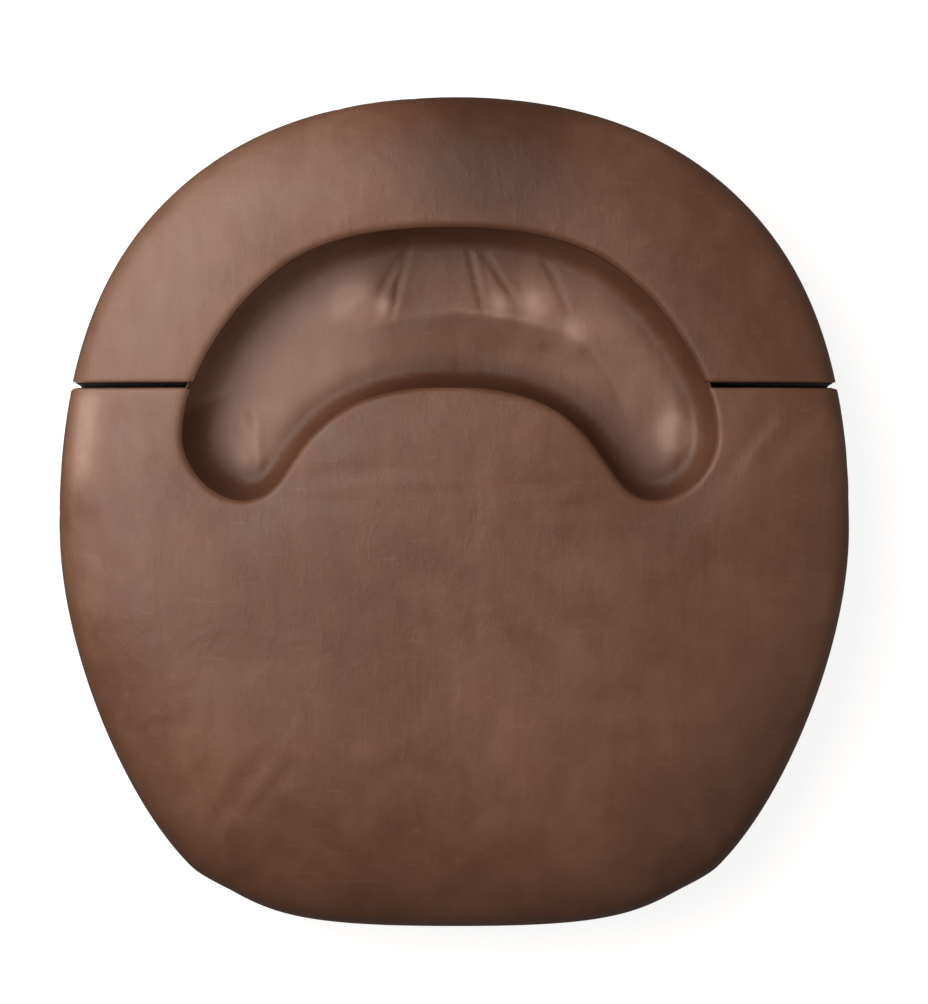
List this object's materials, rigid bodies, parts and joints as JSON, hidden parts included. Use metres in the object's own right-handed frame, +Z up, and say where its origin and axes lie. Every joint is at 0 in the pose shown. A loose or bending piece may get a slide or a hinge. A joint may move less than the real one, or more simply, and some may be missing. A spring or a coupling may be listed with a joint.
{
  "type": "face cradle cushion",
  "caption": "Padded vinyl face cradle cushion with a crescent face trough and a head section that slides out to lengthen it.",
  "frame": {"origin": "middle of the bounding box's bottom, on the surface the cushion lies on", "axes": "+Z up out of the cushion's face, +Y towards the head section, +X to the right seen from above"},
  "size_m": [0.44, 0.4624, 0.078],
  "materials": {
    "cover_vinyl": "satin brown upholstery vinyl",
    "lining_vinyl": "satin brown upholstery vinyl, loose",
    "soft_foam": "open cell foam",
    "firm_foam": "dense foam",
    "plywood": "unfinished birch plywood",
    "dust_cloth": "non-woven cloth",
    "hook_strip": "hook side of hook-and-loop tape",
    "steel_rod": "ground bright steel",
    "zinc_steel": "zinc plated",
    "nylon": "natural nylon"
  },
  "bodies": {
    "body_section": {"body_board": "plywood", "body_base_foam": "firm_foam", "body_comfort_foam": "soft_foam", "body_cover": "cover_vinyl", "body_dust_cover": "dust_cloth", "body_trough_lining": "lining_vinyl", "guide_tube_left": "nylon", "tube_strap_left_front": "zinc_steel", "tube_strap_screw_left_front_a": "zinc_steel", "tube_strap_screw_left_front_b": "zinc_steel", "tube_strap_left_rear": "zinc_steel", "tube_strap_screw_left_rear_a": "zinc_steel", "tube_strap_screw_left_rear_b": "zinc_steel", "guide_tube_right": "nylon", "tube_strap_right_front": "zinc_steel", "tube_strap_screw_right_front_a": "zinc_steel", "tube_strap_screw_right_front_b": "zinc_steel", "tube_strap_right_rear": "zinc_steel", "tube_strap_screw_right_rear_a": "zinc_steel", "tube_strap_screw_right_rear_b": "zinc_steel", "body_hook_strip_left": "hook_strip", "body_hook_strip_right": "hook_strip", "body_hook_strip_rear": "hook_strip", "slit_gusset_left": "dust_cloth", "slit_gusset_right": "dust_cloth"},
    "head_section": {"head_board": "plywood", "head_base_foam": "firm_foam", "head_comfort_foam": "soft_foam", "head_cover": "cover_vinyl", "head_dust_cover": "dust_cloth", "head_trough_lining": "lining_vinyl", "guide_rod_left": "steel_rod", "stop_collar_left": "zinc_steel", "rod_strap_left": "zinc_steel", "rod_strap_screw_left_a": "zinc_steel", "rod_strap_screw_left_b": "zinc_steel", "guide_rod_right": "steel_rod", "stop_collar_right": "zinc_steel", "rod_strap_right": "zinc_steel", "rod_strap_screw_right_a": "zinc_steel", "rod_strap_screw_right_b": "zinc_steel", "head_hook_strip_left": "hook_strip", "head_hook_strip_right": "hook_strip"}
  },
  "joints": [
    {"name": "head_slide", "type": "slide", "parent": "body_section", "child": "head_section", "axis": [0, 1, 0], "range_m": [0, 0.04]}
  ]
}
